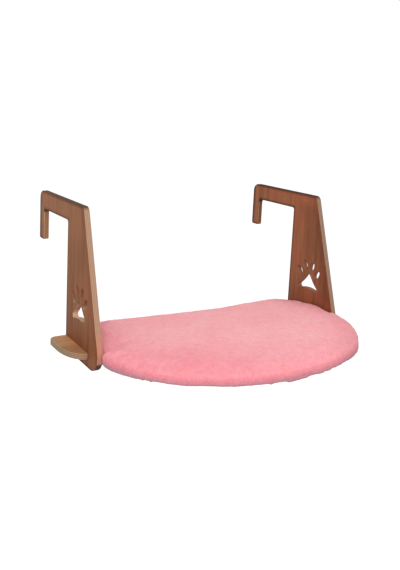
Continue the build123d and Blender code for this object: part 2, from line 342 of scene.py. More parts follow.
def paw_walls(made, at, facing, layers, on_left):
    """Walls of the paw's holes, with painted light and shade: the left pad's are paler, most of
    all low at its back, its walls that face up pale too, and its front end darker.
    """
    # The paler tones are painted light on the left pad's lower walls
    left = layers(srgb(150, 116, 88), srgb(178, 146, 116))
    right = layers(srgb(128, 80, 56), srgb(160, 108, 80))
    at_pad = made.times(on_left, made.ramp(at[2], *PAD_WALLS))
    walls = made.mix(at_pad, right, left)
    # Painted highlight on the pad's walls that face up
    sill = made.times(made.ramp(facing[2], 0.3, 0.8), made.ramp(at[2], *PAD_SILL), on_left)
    walls = made.mix(sill, walls, srgb(184, 145, 117))
    low_pad = made.times(at_pad, made.ramp(at[2], *PAD_FOOT))
    walls = made.mix(made.times(low_pad, made.ramp(at[1], *PAD_BACK)), walls,
                     srgb(204, 168, 142))
    # Painted shade at the pad's front end
    return made.mix(made.times(low_pad, made.ramp(at[1], *PAD_END)), walls, srgb(148, 104, 78))


def bracket_edges(made, place, at, facing, on_left, on_right):
    """Cut edges: dark round the outline, with painted highlights that make them pale along the
    stem's front and in the hook's tip, and painted shade on those that face down.
    """
    through = made.minus(made.math("ABSOLUTE", at[0]), BRACKET_LOW.x)
    through = made.math("DIVIDE", through, BRACKET_HIGH.x - BRACKET_LOW.x)

    def layers(dark, light):
        return plies(made, place, through, dark, light)

    dark = layers(srgb(78, 54, 38), srgb(116, 80, 56))
    # Painted highlight: the wall in the hook's tip that faces forward is painted pale, though it
    # lies in shade
    tip_wall = made.mix(on_right, srgb(214, 176, 140), srgb(206, 158, 118))
    at_tip = made.times(made.ramp(facing[1], -0.5, -0.9), made.ramp(at[1], *TIP_WALL))
    dark = made.mix(at_tip, dark, tip_wall)
    # Painted shade: cut edges that face down are painted very dark
    under = made.mix(on_right, srgb(60, 36, 21), srgb(58, 36, 24))
    dark = made.mix(made.ramp(facing[2], -0.1, -0.7), dark, under)

    reach = made.distance(made.plus(at[1], PAW_DEPTH), made.plus(at[2], PAW_DROP))
    edge = made.mix(made.ramp(reach, *PAW_REACH), dark,
                    paw_walls(made, at, facing, layers, on_left))

    # Painted highlight: the cut edges that face forward along the stem's front are pale, redder
    # low on the left bracket
    pale_left = made.mix(made.ramp(at[2], *REDDER_FRONT),
                         layers(srgb(158, 121, 95), srgb(184, 149, 123)),
                         layers(srgb(180, 120, 96), srgb(202, 142, 118)))
    pale = made.mix(on_right, pale_left, layers(srgb(132, 102, 82), srgb(160, 132, 112)))
    turned = made.minus(made.times(facing[2], STEM_NORMAL_UP),
                        made.times(facing[1], STEM_NORMAL_AHEAD))
    in_front = made.times(made.ramp(beyond_front(made, at), *PALE_FRONT),
                          made.ramp(turned, 0.45, 0.9))
    return made.mix(in_front, edge, pale)


def bracket_wood():
    """Stained plywood. The stem's sloping front edge is painted pale, a painted highlight where it
    faces forward; the other edges are dark.
    """
    made = Material("bracket_plywood", roughness=0.6, specular=0.14)
    place = made.coords.outputs["Object"]
    at = made.split(place)
    facing = made.split(made.coords.outputs["Normal"])
    on_left, on_right = made.ramp(at[0], 0.05, -0.05), made.ramp(at[0], -0.05, 0.05)
    beyond = beyond_front(made, at)
    woody = grain(made, place, 2)
    flat = made.math("ABSOLUTE", facing[0])
    colour = made.mix(made.ramp(flat, *FLAT_FACE),
                      bracket_edges(made, place, at, facing, on_left, on_right),
                      bracket_face(made, at, on_left, on_right, woody))
    # Worn arrises are real wear; near the stem's front their pale tone goes with the painted
    # highlight on the front edge
    arris = made.mix(made.ramp(beyond, *PALE_ARRIS), srgb(104, 72, 50), srgb(196, 152, 120))
    colour = made.mix(made.times(worn_arris(made, place, flat), 0.45), colour, arris)
    line = made.mix(on_right, srgb(176, 156, 144), srgb(142, 118, 106))
    line = made.mix(made.ramp(at[2], *SCORCH_FOOT), line, srgb(140, 120, 104))
    colour = made.shade(scorched(made, at), colour, line)
    near_front = made.times(made.ramp(beyond, *NEAR_FRONT), made.ramp(beyond, *PAST_FRONT),
                            made.ramp(flat, 0.9, 1.0), 0.5)
    made.feed("Base Color", made.shade(near_front, colour, srgb(226, 200, 184)))
    finish_wood(made, woody[1], woody[0])
    return made.made


def board_wood():
    """Plain plywood with darker, sealed edges."""
    made = Material("board_plywood", roughness=0.6, specular=0.22)
    place = made.coords.outputs["Object"]
    at = made.split(place)
    facing = made.split(made.coords.outputs["Normal"])
    figure, fibres, patches = grain(made, place, 0)
    face = veneer(made, figure, fibres, patches,
                  srgb(168, 118, 78), srgb(200, 148, 102), srgb(194, 136, 90))
    through = made.minus(at[2], BOARD_LOW.z)
    through = made.math("DIVIDE", through, BOARD_HIGH.z - BOARD_LOW.z)
    edge = plies(made, place, through, srgb(128, 98, 74), srgb(180, 142, 112))
    flat = made.math("ABSOLUTE", facing[2])
    colour = made.mix(made.ramp(flat, *FLAT_FACE), edge, face)
    worn = made.times(worn_arris(made, place, flat), 0.5)
    colour = made.mix(worn, colour, srgb(192, 152, 112))
    ends = made.ramp(made.math("ABSOLUTE", at[0]), BOARD_HIGH.x - 0.02, BOARD_HIGH.x)
    made.feed("Base Color", made.shade(ends, colour, srgb(236, 250, 255)))
    finish_wood(made, fibres, figure)
    return made.made


# The plush's tones of painted light and shade; of each pair, a tone starts at the first number and
# is full at the second
SIDE_FACING = (0.92, 0.4)  # how much the surface faces up
UNDER_FACING = (0.0, -0.5)
BACK_FACING = (0.2, 0.8)  # how much it faces back
RIGHT_FACING = (0.3, 0.9)  # how much it faces right
HEM_RISE = (0.014, 0.004)  # above the line where the roll hangs lowest
RIGHT_PART = (0.06, 0.15)  # right of the middle
RIGHT_RIM = (0.25, 0.6)  # of the rim attribute


def plush():
    """Short pile: soft clumps, a little darker between them as painted shade, deeper pink round
    the rim as painted shading, and painted light and shade by which way the surface faces.
    """
    made = Material("pink_plush", roughness=0.95, specular=0.06)
    made.set(**{"Sheen Weight": 0.18, "Sheen Roughness": 0.55, "Sheen Tint": srgb(255, 206, 212)})
    place = made.coords.outputs["Object"]
    at = made.split(place)
    facing = made.split(made.coords.outputs["Normal"])
    rim = made.attribute("rim")
    broad = made.noise(place, 13.0, detail=2.0, distortion=0.8)
    drift = made.noise(place, 34.0, detail=3.0, roughness=0.55, distortion=0.5)
    clumps = made.noise(place, 150.0, detail=3.0, roughness=0.6)
    swirl = made.times(made.noise(place, 11.0, detail=1.0), 0.05)
    combed = made.join(made.plus(at[0], swirl), made.plus(at[1], swirl), at[2])
    fibres = made.noise(made.scaled(combed, (1.0, 0.3, 0.3)), 1100.0, detail=3.0, roughness=0.65)

    top = made.mix(made.ramp(broad, 0.36, 0.62), srgb(255, 181, 184), srgb(255, 188, 191))
    # Painted shading: where the rim attribute is high, towards the rim and in its listed patches,
    # the pile takes a deeper pink
    brush_marks_and_rim_shade = made.mix(made.ramp(drift, 0.36, 0.64), srgb(250, 156, 165), srgb(251, 165, 173))
    wander = made.times(made.minus(drift, 0.5), 0.5)
    deeper = made.ramp(made.plus(rim, wander), 0.0, 1.0, smooth=False)
    colour = made.mix(deeper, top, brush_marks_and_rim_shade)
    # Painted shading: the sides, as they turn from facing up, take a deeper pink
    colour = made.mix(made.ramp(facing[2], *SIDE_FACING), colour, srgb(240, 148, 158))
    # Painted shade on the surfaces that face down
    colour = made.mix(made.ramp(facing[2], *UNDER_FACING), colour, srgb(190, 124, 138))
    # Painted shade along the bottom of the hanging roll, darkest in its lowest few millimetres
    hem = [CLOTH_HIGH.z - ROLL_DROP + rise for rise in HEM_RISE]
    colour = made.mix(made.ramp(at[2], *hem), colour, srgb(192, 136, 145))
    # Painted shade on the surfaces that face back
    back = made.times(made.ramp(facing[1], *BACK_FACING), 0.3)
    colour = made.mix(back, colour, srgb(206, 142, 152))
    # Painted shade on the surfaces that face right, away from the key lamp
    colour = made.shade(made.ramp(facing[0], *RIGHT_FACING), colour, srgb(247, 251, 252))
    # Painted shade on the rim right of the middle, where the key lamp lights it most
    right_rim = made.times(made.ramp(at[0], *RIGHT_PART), made.ramp(rim, *RIGHT_RIM))
    colour = made.shade(right_rim, colour, srgb(240, 242, 241))

    # Painted shade between the clumps and tufts: the low places of the pile are darker
    valley = made.ramp(made.attribute("tuft"), 0.0, 1.0)
    depth = made.plus(made.times(valley, 0.5), made.times(clumps, 0.5))
    tone = made.mix(made.ramp(depth, 0.25, 0.7), srgb(250, 240, 242), srgb(255, 255, 255))
    strands = made.mix(made.ramp(fibres, 0.32, 0.62), srgb(244, 229, 232), srgb(255, 255, 255))
    colour = made.shade(0.8, colour, tone)
    made.feed("Base Color", made.shade(0.8, colour, strands))
    made.bump(made.plus(fibres, made.times(clumps, 0.6)), 0.0006, 0.6)
    return made.made


def woven(name, light, dark, threads, axes=(0, 1)):
    """Plain weave: threads is how many cross one metre, and axes the two that they run along."""
    made = Material(name, roughness=0.85, specular=0.15)
    place = made.coords.outputs["Object"]
    along = made.split(place)
    warp, weft = (made.math("ABSOLUTE", made.math("SINE", made.times(along[i], threads * math.pi)))
                  for i in axes)
    weave = made.times(warp, weft)
    uneven = made.noise(place, 70.0)
    slubs = made.noise(made.scaled(place, (1.0, 14.0, 14.0)), 60.0, detail=2.0)
    share = made.plus(made.times(weave, 0.6), made.times(uneven, 0.25), made.times(slubs, 0.2))
    made.feed("Base Color", made.mix(share, dark, light))
    made.feed("Roughness", made.span(uneven, 0.75, 0.95))
    made.bump(weave, 0.0002, 0.8)
    return made.made


def thread(name, light, dark):
    """Twisted sewing thread."""
    made = Material(name, roughness=0.7, specular=0.25)
    place = made.coords.outputs["Object"]
    twist = made.math("SINE", made.times(made.plus(*made.split(place)), 9000.0))
    fuzz = made.noise(place, 2500.0)
    made.feed("Base Color", made.mix(made.ramp(twist, -0.8, 0.8), dark, light))
    made.feed("Roughness", made.span(fuzz, 0.6, 0.85))
    made.bump(twist, 0.00005, 0.6)
    return made.made


def moulded_nylon(name, light, dark):
    """Hooks and loops: translucent-looking nylon with a slight sheen."""
    made = Material(name, roughness=0.45, specular=0.4)
    fuzz = made.noise(made.coords.outputs["Object"], 1800.0)
    made.feed("Base Color", made.mix(fuzz, dark, light))
    made.feed("Roughness", made.span(fuzz, 0.35, 0.6))
    made.bump(fuzz, 0.00002, 0.5)
    return made.made


def coil_nylon():
    """Closed zip coil: its turns show as ribs across it, with a sewn line along each half."""
    made = Material("coil_nylon", roughness=0.45, specular=0.4)
    place = made.coords.outputs["Object"]
    along = made.split(place)
    turn = made.math("SINE", made.times(along[0], 2 * math.pi / COIL_PITCH))
    ribs = made.ramp(turn, -0.7, 0.5)
    off = made.math("ABSOLUTE", made.minus(along[2], ZIP_MIDDLE))
    line = made.math("ABSOLUTE", made.minus(off, COIL_SEAM))
    sewn = made.times(made.ramp(line, 0.00025, 0.00015), made.ramp(turn, 0.2, -0.4))
    base = made.mix(ribs, srgb(176, 104, 114), srgb(228, 152, 160))
    made.feed("Base Color", made.mix(made.times(sewn, 0.8), base, srgb(244, 196, 200)))
    made.feed("Roughness", made.span(made.noise(place, 500.0), 0.35, 0.55))
    made.bump(made.plus(ribs, made.times(sewn, 0.5)), 0.0003, 0.9)
    return made.made


def plated_metal():
    made = Material("zip_nickel", roughness=0.3, specular=0.5)
    made.set(Metallic=1.0)
    place = made.coords.outputs["Object"]
    brush_marks_and_rim_shade = made.noise(made.scaled(place, (1.0, 8.0, 8.0)), 700.0)
    stain = made.noise(place, 300.0)
    made.feed("Base Color", made.mix(stain, srgb(196, 192, 186), srgb(222, 219, 214)))
    made.feed("Roughness", made.span(brush_marks_and_rim_shade, 0.22, 0.42))
    made.bump(brush_marks_and_rim_shade, 0.00003, 0.6)
    return made.made


def dress(node, material):
    """Gives a CAD node its material."""
    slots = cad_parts[node].material_slots
    for slot in slots:
        slot.material = material
    if not slots:
        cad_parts[node].data.materials.append(material)


def new_object(name, points, faces, material):
    mesh = bpy.data.meshes.new(name)
    mesh.from_pydata(points, [], faces)
    mesh.update()
    mesh.materials.append(material)
    made = bpy.data.objects.new(name, mesh)
    bpy.context.scene.collection.objects.link(made)
    return made


def apply_modifiers(piece):
    """Puts what the modifiers make into the mesh itself."""
    graph = bpy.context.evaluated_depsgraph_get()
    made = bpy.data.meshes.new_from_object(piece.evaluated_get(graph))
    old = piece.data
    piece.modifiers.clear()
    piece.data = made
    made.name = piece.name
    bpy.data.meshes.remove(old)
    return made


def smooth(piece):
    piece.data.polygons.foreach_set("use_smooth", [True] * len(piece.data.polygons))
    piece.data.update()


# The cushion's outline
INNER_FACE = BRACKET_LOW.x
SIDE_CLEARANCE = 0.001
FRONT_CLEARANCE = 0.0008
STEM_DEPTH = 0.126
SHOULDER = 0.1242  # depth where the rim passes the brackets' fronts and bulges out
CORNER_RADIUS = 0.032
DRAW_IN = 0.0015  # of each side, halfway along
BULGE_LENGTH = 0.003  # of the step outwards at the shoulder
BULGE_LENGTH_INSIDE = 0.012  # and how much longer it is on the crown
BULGE_FADE = 0.03  # inset at which the bulge is gone
HALF_WIDTH = INNER_FACE - SIDE_CLEARANCE
BULGE_BEYOND = COVER_HIGH.x - HALF_WIDTH
BACK_POINTS, CORNER_POINTS, SIDE_POINTS, SHOULDER_POINTS, FRONT_POINTS = 60, 8, 24, 6, 110
FRONT_TURN = -88.5  # degrees; the mirrored half begins as far past the front's middle
SOLID_BULGE_LENGTH = 0.008
# The crown's whole inset from the rim and from the back, as in the cover's solid
CROWN_RIM = 0.87 * (-COVER_LOW.y - STEM_DEPTH - FRONT_CLEARANCE - SOLID_BULGE_LENGTH)
CROWN_BACK = 0.71 * (STEM_DEPTH + FRONT_CLEARANCE + COVER_HIGH.y - CORNER_RADIUS)
# Share of the cover's height, of the crown's inset at the rim, of the inset at the back
LEVELS = (
    (0.0, 0.014, 0.0),
    (0.1, 0.004, 0.0),
    (0.26, 0.0, 0.0),
    (0.37, 0.008, 0.025),
    (0.505, 0.028, 0.063),
    (0.624, 0.072, 0.09),
    (0.72, 0.155, 0.127),
    (0.787, 0.3, 0.175),
    (0.843, 0.5, 0.283),
    (0.92, 0.75, 0.57),
    (1.0, 1.0, 1.0),
)
# Inset of the rolled lower rim, and its share of the roll's drop, from the seam outwards
ROLL = ((0.012, 0.0), (0.0095, 0.6), (0.007, 0.95), (0.005, 1.0), (0.0025, 0.75), (0.001, 0.35))

# A real cushion lies unevenly. Places in plan, how far around them it shows, and how far the
# top stands higher there, the rim further out, or the roll lower
SWELLS = (
    ((-0.19, -0.03), (0.08, 0.08), 0.004),
    ((0.03, -0.03), (0.08, 0.06), -0.0022),
    ((0.2215, -0.092), (0.014, 0.042), 0.004),
    ((0.2215, -0.092), (0.035, 0.042), 0.0035),
    ((-0.2215, -0.092), (0.035, 0.042), 0.002),
)
SPREADS = (
    ((0.155, -0.245), (0.07, 0.07), 0.004),
    ((0.222, -0.16), (0.035, 0.035), 0.003),
    ((-0.222, -0.15), (0.03, 0.025), 0.0015),
)
SAGS = (
    ((-0.13, -0.262), (0.06, 0.06), -0.0016),
    ((-0.222, -0.15), (0.03, 0.03), 0.0018),
    ((0.17, -0.23), (0.06, 0.06), 0.001),
)

# Where painted shade makes the pile deeper pink, from 0 to 1; below 0, painted light makes it
# paler
PAINTED_LIGHT_AND_SHADE = (
    ((-0.13, -0.205), (0.075, 0.05), 0.55),
    ((-0.212, -0.09), (0.03, 0.06), 0.15),
    ((-0.06, -0.25), (0.05, 0.03), 0.25),
    ((0.13, -0.22), (0.1, 0.06), -0.17),
    ((0.21, -0.15), (0.04, 0.05), -0.1),
)


def unevenness(places, x, y):
    total = 0.0
    for (at_x, at_y), (reach_x, reach_y), amount in places:
        total += amount * math.exp(-((x - at_x) / reach_x) ** 2 - ((y - at_y) / reach_y) ** 2)
    return total


def arc(centre_x, centre_y, radius_x, radius_y, start, end, count):
    """Points of an ellipse's arc, from start to end degrees."""
    for i in range(count):
        turn = math.radians(start + (end - start) * i / count)
        yield centre_x + radius_x * math.cos(turn), centre_y + radius_y * math.sin(turn)


def spread(x, y):
    """A place of the round front, moved outwards where the rim stands further out."""
    away = Vector((x, y + STEM_DEPTH))
    return tuple(Vector((x, y)) + away.normalized() * unevenness(SPREADS, x, y))


def outline(inset, back_inset=0.0):
    """D-shaped outline, from the back's middle by the right side to the front's middle and on."""
    side = HALF_WIDTH - inset
    back = COVER_HIGH.y - back_inset
    front = COVER_LOW.y + inset
    shoulder = -SHOULDER
    inner = eased(inset, 0.0, BULGE_FADE)
    bulge = side + BULGE_BEYOND * (1 - inner)
    bulge_length = BULGE_LENGTH + BULGE_LENGTH_INSIDE * inner
    bulge_y = shoulder - bulge_length
    half = [(side * (i + 0.5) / BACK_POINTS * (1 - CORNER_RADIUS / side), back)
            for i in range(BACK_POINTS)]
    half += arc(side - CORNER_RADIUS, back - CORNER_RADIUS, CORNER_RADIUS, CORNER_RADIUS,
                90, 0, CORNER_POINTS)
    for i in range(SIDE_POINTS):
        share = i / SIDE_POINTS
        y = back - CORNER_RADIUS + (shoulder - back + CORNER_RADIUS) * share
        half.append((side - DRAW_IN * 4 * share * (1 - share), y))
    for i in range(SHOULDER_POINTS):
        share = i / SHOULDER_POINTS
        step = eased(share, 0.0, 1.0)
        half.append((side + (bulge - side) * step, shoulder - bulge_length * share))
    half += arc(0, bulge_y, bulge, bulge_y - front, 0, FRONT_TURN, FRONT_POINTS)
    ring = half + [(-x, y) for x, y in reversed(half)]
    return [(x, y) if y > shoulder - BULGE_LENGTH / 2 else spread(x, y) for x, y in ring]


def eased(value, low, high):
    """0 below low, 1 above high, with a smooth rise between."""
    share = min(1.0, max(0.0, (value - low) / (high - low)))
    return share * share * (3 - 2 * share)


def cushion_form():
    """Closed form of the cushion, a little inside its solid: rings from the seam to the crown."""
    seam = CLOTH_HIGH.z + START_INSET / 2
    height = COVER_HIGH.z - CLOTH_HIGH.z - START_INSET
    rings = []
    for inset, share in ROLL:
        ring = outline(START_INSET + inset, START_INSET)
        rings.append([(x, y, seam - share * (ROLL_DROP + unevenness(SAGS, x, y))
                       * eased(-y, ROLL_START, ROLL_FULL)) for x, y in ring])
    for share, inset, back_inset in LEVELS:
        ring = outline(START_INSET + inset * (CROWN_RIM - START_INSET),
                       START_INSET + back_inset * (CROWN_BACK - START_INSET))
        raised = eased(share, 0.0, 0.26)
        rings.append([(x, y, seam + height * share + raised * unevenness(SWELLS, x, y))
                      for x, y in ring])
    points = [p for ring in rings for p in ring]
    count = len(rings[0])
    faces = [list(range(count))[::-1], [i + count * (len(rings) - 1) for i in range(count)]]
    for level in range(len(rings) - 1):
        for i in range(count):
            j = (i + 1) % count
            low, high = level * count, (level + 1) * count
            faces.append([low + i, low + j, high + j, high + i])
    return new_object("plush_cushion", points, faces, plush())


def remesh(piece, size):
    modifier = piece.modifiers.new("remesh", "REMESH")
    modifier.mode = "VOXEL"
    modifier.voxel_size = size
    apply_modifiers(piece)


SOFT_FRONT = (SHOULDER + 0.006, SHOULDER + 0.036)  # depths where the softening starts, is full


def soften(piece):
    """Rounds the rim in front of the brackets, where nothing holds the plush in."""
    front = piece.vertex_groups.new(name="front")
    for vertex in piece.data.vertices:
        share = eased(-vertex.co.y, *SOFT_FRONT)
        if share > 0.0:
            front.add([vertex.index], share, "REPLACE")
    modifier = piece.modifiers.new("soften", "SMOOTH")
    modifier.vertex_group = "front"
    modifier.factor = 0.5
    modifier.iterations = SOFTENING
    apply_modifiers(piece)
    piece.vertex_groups.clear()


def puff(piece):
    """Blows the form up as cloth, with its underside held, and caps how far a point may move."""
    rest = [v.co.copy() for v in piece.data.vertices]
    held = piece.vertex_groups.new(name="held")
    below = [v.index for v in piece.data.vertices if v.normal.z < -0.5]
    held.add(below, 1.0, "REPLACE")
    cloth = piece.modifiers.new("cloth", "CLOTH")
    settings = cloth.settings
    settings.quality = 6
    settings.mass = 0.25
    settings.tension_stiffness = settings.compression_stiffness = 12.0
    settings.shear_stiffness = 6.0
    settings.bending_stiffness = 1.5
    settings.use_pressure = True
    settings.uniform_pressure_force = PUFF_PRESSURE
    settings.effector_weights.gravity = 0.0
    settings.vertex_group_mass = "held"
    cloth.collision_settings.use_collision = False
    cloth.collision_settings.use_self_collision = False
    cloth.point_cache.frame_start = 1
    cloth.point_cache.frame_end = PUFF_FRAMES
    for step in range(1, PUFF_FRAMES + 1):
        bpy.context.scene.frame_set(step)
    mesh = apply_modifiers(piece)
    bpy.context.scene.frame_set(1)
    for vertex, start in zip(mesh.vertices, rest):
        move = vertex.co - start
        if move.length > PUFF_CAP:
            vertex.co = start + move.normalized() * PUFF_CAP


BOARD_SIDE_DEPTH = 0.095  # where the board's round front begins
BOARD_FRONT = -BOARD_LOW.y
BOARD_GAP = 0.0013  # as near as this to its edge, a place still counts as over the board


def over_board(x, y):
    """Whether a place lies over the board or within a hair of its front."""
    if y > -BOARD_SIDE_DEPTH:
        return True
    along = x / (INNER_FACE + BOARD_GAP)
    ahead = (-y - BOARD_SIDE_DEPTH) / (BOARD_FRONT - BOARD_SIDE_DEPTH + BOARD_GAP)
    return along * along + ahead * ahead < 1


def rim_share(x, y):
    """0 over the cushion's middle, 1 at its round front and sides."""
    along = x / (HALF_WIDTH + BULGE_BEYOND)
    ahead = max(0.0, -y - STEM_DEPTH) / (-COVER_LOW.y - STEM_DEPTH)
    return math.sqrt(along * along + ahead * ahead)


# The pile's height, and how fine and how high its unevenness is: noise per metre, metres, offset
PILE_HEIGHT = 0.0014
BROAD_PILE = ((20.0, 0.0009, (0, 0, 0)), (48.0, 0.0007, (7, 3, 1)))
CLUMPS = (130.0, 0.0004, (3, 9, 4))
TUFTS = (400.0, 0.00035, (11, 2, 5))
ZIP_SEAT_GAP = 0.0002


def pile_noise(place, fineness, offset):
    return noise.noise(place * fineness + Vector(offset))


def pile(piece):
    """Raises the surface in soft unevenness, clumps and tufts, and keeps it off its neighbours."""
    mesh = piece.data
    tufts = mesh.attributes.new("tuft", "FLOAT", "POINT")
    rims = mesh.attributes.new("rim", "FLOAT", "POINT")
    limit_side = INNER_FACE - SIDE_GAP
    shoulder = -(SHOULDER - SIDE_GAP / 2)
    seam = CLOTH_HIGH.z
    zip_seat = COVER_HIGH.y - ZIP_SEAT_GAP
    values = []
    nearness = []
    moved = []
    for vertex in mesh.vertices:
        p, n = vertex.co, vertex.normal
        rim = eased(1.0 - n.z, 0.02, 0.35)
        broad = sum(pile_noise(p, fine, offset) * high for fine, high, offset in BROAD_PILE)
        clump = pile_noise(p, CLUMPS[0], CLUMPS[2])
        tuft = pile_noise(p, TUFTS[0], TUFTS[2])
        values.append(0.5 + 0.45 * clump + 0.4 * tuft)
        # The rim attribute carries painted shading: deeper pink towards the rim, plus the painted
        # light and shade patches
        near = 0.75 * eased(rim_share(p.x, p.y), 0.55, 1.0)
        nearness.append(near + unevenness(PAINTED_LIGHT_AND_SHADE, p.x, p.y))
        lift = PILE_HEIGHT + broad * (0.6 + 0.9 * rim) + CLUMPS[1] * clump + TUFTS[1] * tuft
        q = p + n * lift * eased(n.z, -0.95, -0.3)
        if q.y > shoulder:
            q.x = max(-limit_side, min(limit_side, q.x))
        q.y = min(q.y, zip_seat)
        if over_board(q.x, q.y):
            q.z = max(q.z, seam)
        moved.append(q)
    for vertex, q in zip(mesh.vertices, moved):
        vertex.co = q
    tufts.data.foreach_set("value", values)
    rims.data.foreach_set("value", nearness)
    mesh.update()


def make_cushion():
    piece = cushion_form()
    remesh(piece, VOXEL)
    soften(piece)
    puff(piece)
    divide = piece.modifiers.new("divide", "SUBSURF")
    divide.levels = divide.render_levels = 1
    apply_modifiers(piece)
    pile(piece)
    smooth(piece)
    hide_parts("plush_cover", "foam_core")
    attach(piece, "cushion")


CLOTH_INSET = 0.0105  # of the base cloth from the cushion's outline
STITCH_PITCH = 0.0042
STITCH_LENGTH = 0.0031
STITCH_RADIUS = 0.00028
STITCH_INSET = 0.0035  # of the sewn line from the base cloth's edge


def tube(points, faces, path, radii, sides):
    """Adds a closed round strand along path to points and faces."""
    start = len(points)
    for i, place in enumerate(path):
        ahead = (path[min(i + 1, len(path) - 1)] - path[max(i - 1, 0)]).normalized()
        across = ahead.cross(Vector((0.13, 0.29, 0.95))).normalized()
        other = ahead.cross(across)
        for k in range(sides):
            turn = 2 * math.pi * k / sides
            points.append(place + radii[i] * (math.cos(turn) * across + math.sin(turn) * other))
    for i in range(len(path) - 1):
        for k in range(sides):
            low, high = start + i * sides, start + (i + 1) * sides
            faces.append([low + k, low + (k + 1) % sides, high + (k + 1) % sides, high + k])
    faces.append([start + k for k in range(sides)][::-1])
    faces.append([start + (len(path) - 1) * sides + k for k in range(sides)])


def stitch_run(points, faces, line, sink):
    """Stitches along a run of points; each rises out of the cloth in its middle."""
    gone = 0.0
    for a, b in zip(line, line[1:]):
        run = (b - a).length
        while gone < run:
            place = a.lerp(b, gone / run)
            along = (b - a).normalized() * STITCH_LENGTH / 2
            path = [place - along + sink, place - along * 0.6, place, place + along * 0.6,
                    place + along + sink]
            radii = [STITCH_RADIUS * r for r in (0.5, 0.9, 1.0, 0.9, 0.5)]
            tube(points, faces, path, radii, 5)
            gone += STITCH_PITCH
        gone -= run


def flat_slab(name, ring, low, high, material):
    """Thin cloth of one outline between two heights."""
    count = len(ring)
    points = [(x, y, high) for x, y in ring] + [(x, y, low) for x, y in ring]
    faces = [list(range(count)), [i + count for i in range(count)][::-1]]
    for i in range(count):
        j = (i + 1) % count
        faces.append([i + count, j + count, j, i])
    return new_object(name, points, faces, material)


def ring_area(ring):
    pairs = zip(ring, ring[1:] + ring[:1])
    return abs(sum(a[0] * b[1] - b[0] * a[1] for a, b in pairs)) / 2


def make_base_cloth():
    """Flat cloth that closes the cushion below, sewn round its edge."""
    ring = outline(CLOTH_INSET)
    cloth = woven("base_weave", srgb(226, 170, 175), srgb(178, 120, 127), 900)
    piece = flat_slab("base_cloth", ring, CLOTH_LOW.z, CLOTH_HIGH.z, cloth)
    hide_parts("cushion_base_cloth")
    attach(piece, "cushion")
    points, faces = [], []
    line = [Vector((x, y, CLOTH_LOW.z)) for x, y in outline(CLOTH_INSET + STITCH_INSET)]
    stitch_run(points, faces, line + line[:1], Vector((0, 0, STITCH_RADIUS)))
    sewn = new_object("base_stitching", points, faces, SEWING)
    smooth(sewn)
    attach(sewn, "cushion")
    ring_area(ring)


TAPE_WIDTH = 0.025
TAPE_CORNER = 0.002
TAPE_BACKING = 0.0004
TAPE_SEAM = 0.0012  # of the sewn line from a loop tape's edge
TAPE_SEAM_END = 0.002  # and of its ends from the tape's ends
HOOK_PITCH = 0.0021
STRAND_RADIUS = 0.00006
# Lines of a hook and of a loop: across the tape and above its backing
HOOK_LINE = ((0.0, 0.0), (0.0, 0.00022), (0.00006, 0.00032), (0.00018, 0.00034),
             (0.00026, 0.00026))
LOOP_LINE = ((-0.0003, 0.0), (-0.0002, 0.00025), (0.0, 0.00034), (0.0002, 0.00025), (0.0003, 0.0))


def tape_ring(middle):
    """Rounded rectangle of a tape whose middle line is at middle."""
    half_x, half_y = TAPE_WIDTH / 2 - TAPE_CORNER, (HOOK_HIGH.y - HOOK_LOW.y) / 2 - TAPE_CORNER
    middle_y = (HOOK_HIGH.y + HOOK_LOW.y) / 2
    ring = []
    for k, (sx, sy) in enumerate(((1, 1), (-1, 1), (-1, -1), (1, -1))):
        ring += arc(middle + sx * half_x, middle_y + sy * half_y, TAPE_CORNER, TAPE_CORNER,
                    90 * k, 90 * k + 90, 6)
    return ring


def strand_field(middle, low, high, base, up, line, loose):
    """Rows of hooks or loops on one tape; the looser they are, the more they stray and turn."""
    points, faces = [], []
    columns = int((TAPE_WIDTH - 2 * TAPE_CORNER) / HOOK_PITCH)
    rows = int((high.y - low.y - 2 * TAPE_CORNER) / HOOK_PITCH)
    shift = loose * HOOK_PITCH
    for row in range(rows):
        for column in range(columns):
            seed = Vector((column * 1.7 + middle * 90, row * 1.3, 4.1 * up))
            x = middle + (column - (columns - 1) / 2) * HOOK_PITCH + shift * noise.noise(seed)
            y = (low.y + high.y) / 2 + (row - (rows - 1) / 2) * HOOK_PITCH
            y += shift * noise.noise(seed + Vector((9, 9, 9)))
            turn = loose * math.pi * noise.noise(seed + Vector((3, 5, 7))) * 2
            flip = 1 if (column + row) % 2 else -1
            along_x, along_y = flip * math.cos(turn), math.sin(turn)
            path = [Vector((x + a * along_x, y + a * along_y, base + up * b)) for a, b in line]
            tube(points, faces, path, [STRAND_RADIUS] * len(path), 3)
    return points, faces


def tape_seams(middle, low, high, z):
    """Stitches along both long edges of one tape."""
    points, faces = [], []
    for edge in (-1, 1):
        x = middle + edge * (TAPE_WIDTH / 2 - TAPE_SEAM)
        run = [Vector((x, low.y + TAPE_SEAM_END, z)), Vector((x, high.y - TAPE_SEAM_END, z))]
        stitch_run(points, faces, run, Vector((0, 0, STITCH_RADIUS)))
    return points, faces


